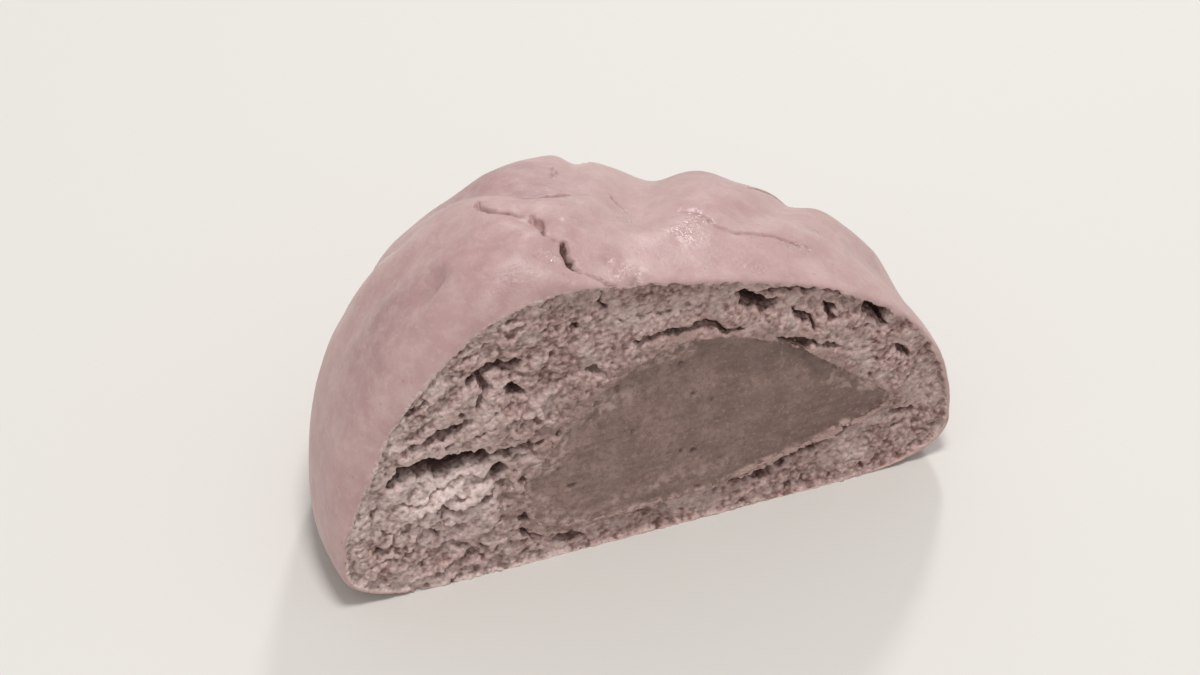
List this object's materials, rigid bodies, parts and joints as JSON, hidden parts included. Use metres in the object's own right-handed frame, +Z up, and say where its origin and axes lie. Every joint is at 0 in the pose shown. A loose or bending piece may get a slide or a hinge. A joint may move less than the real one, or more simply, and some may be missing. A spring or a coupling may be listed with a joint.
{
  "type": "steamed bun half",
  "caption": "Half of a filled steamed bun, cut upright: pleated domed skin, open crumb and a smooth paste filling in the cut face.",
  "frame": {"origin": "middle of the base of the box around the half bun, on the surface it stands on", "axes": "+Z up from the flat base; -Y out of the cut face; +X along the cut face towards the lower end of the crown, with the hump of the crown towards -X"},
  "size_m": [0.097, 0.0524, 0.0554],
  "materials": {
    "dough": "soft steamed dough: satin mauve skin outside, matt porous crumb on the cut face",
    "filling": "smooth dense paste, matt to satin, with fine knife drag lines"
  },
  "bodies": {
    "root": {"steamed_dough": "dough", "paste_filling": "filling"}
  },
  "joints": []
}
